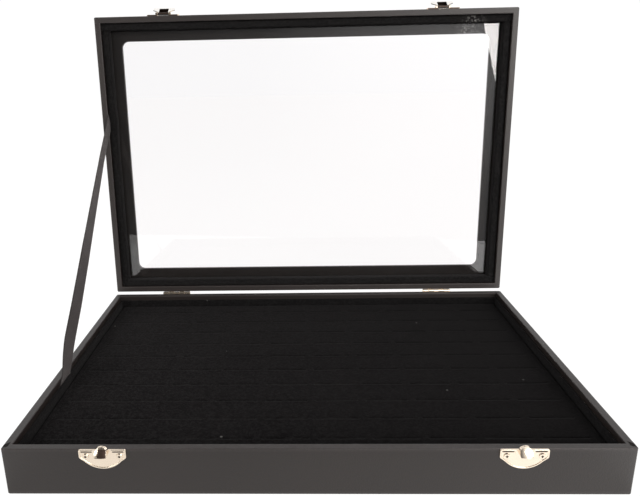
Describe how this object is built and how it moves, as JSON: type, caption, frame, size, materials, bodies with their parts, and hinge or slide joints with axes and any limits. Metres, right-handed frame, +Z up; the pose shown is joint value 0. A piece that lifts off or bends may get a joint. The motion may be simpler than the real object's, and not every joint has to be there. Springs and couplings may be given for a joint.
{
  "type": "ring display case",
  "caption": "Shallow leatherette case with a slotted velvet ring pad, a hinged glass lid, two snap hasps and a ribbon stay, shown open.",
  "frame": {"origin": "middle of the tray's underside, on the surface the case stands on", "axes": "+X to the right along the front, +Y from the front with the hasps to the back with the hinges, +Z up out of the tray"},
  "size_m": [0.35, 0.2724, 0.2782],
  "materials": {
    "leatherette": "fine-grained matt",
    "velvet": "short-pile velvet",
    "foam": "soft foam",
    "card": "matt card",
    "board": "sawn fibreboard",
    "ribbon": "grosgrain ribbon",
    "glass": "clear float glass",
    "nickel": "nickel plate"
  },
  "bodies": {
    "tray": {"tray_base_board": "board", "tray_front_wall": "board", "tray_back_wall": "board", "tray_left_wall": "board", "tray_right_wall": "board", "tray_covering": "leatherette", "tray_base_sheet": "card", "tray_front_lining": "velvet", "tray_back_lining": "velvet", "tray_left_lining": "velvet", "tray_right_lining": "velvet", "pad_board": "card", "pad_foam": "foam", "pad_velvet": "velvet", "catch_plate_left": "nickel", "catch_plate_right": "nickel", "catch_screws": "nickel", "hinge_tray_leaf_left": "nickel", "hinge_tray_leaf_right": "nickel", "hinge_pin_left": "nickel", "hinge_pin_right": "nickel", "hinge_tray_screws": "nickel", "stay_ribbon": "ribbon"},
    "lid": {"lid_board": "board", "lid_front_wall": "board", "lid_back_wall": "board", "lid_left_wall": "board", "lid_right_wall": "board", "lid_covering": "leatherette", "glass_pane": "glass", "glass_retainer_front": "velvet", "glass_retainer_back": "velvet", "glass_retainer_left": "velvet", "glass_retainer_right": "velvet", "hinge_lid_leaf_left": "nickel", "hinge_lid_leaf_right": "nickel", "hinge_lid_screws": "nickel", "hasp_base_left": "nickel", "hasp_base_right": "nickel", "hasp_pin_left": "nickel", "hasp_pin_right": "nickel", "hasp_screws": "nickel"},
    "flap_left": {"hasp_flap_left": "nickel"},
    "flap_right": {"hasp_flap_right": "nickel"}
  },
  "joints": [
    {"name": "lid_hinge", "type": "hinge", "parent": "tray", "child": "lid", "pos_m": [0, 0.1216, 0.02995], "axis": [1, 0, 0], "range_deg": [0, 92.5], "deforming": ["stay_ribbon"]},
    {"name": "hasp_left", "type": "hinge", "parent": "lid", "child": "flap_left", "pos_m": [-0.1175, 0.13617, 0.27305], "axis": [1, 0, 0], "range_deg": [0, 146]},
    {"name": "hasp_right", "type": "hinge", "parent": "lid", "child": "flap_right", "pos_m": [0.114, 0.13617, 0.27305], "axis": [1, 0, 0], "range_deg": [0, 146]}
  ]
}
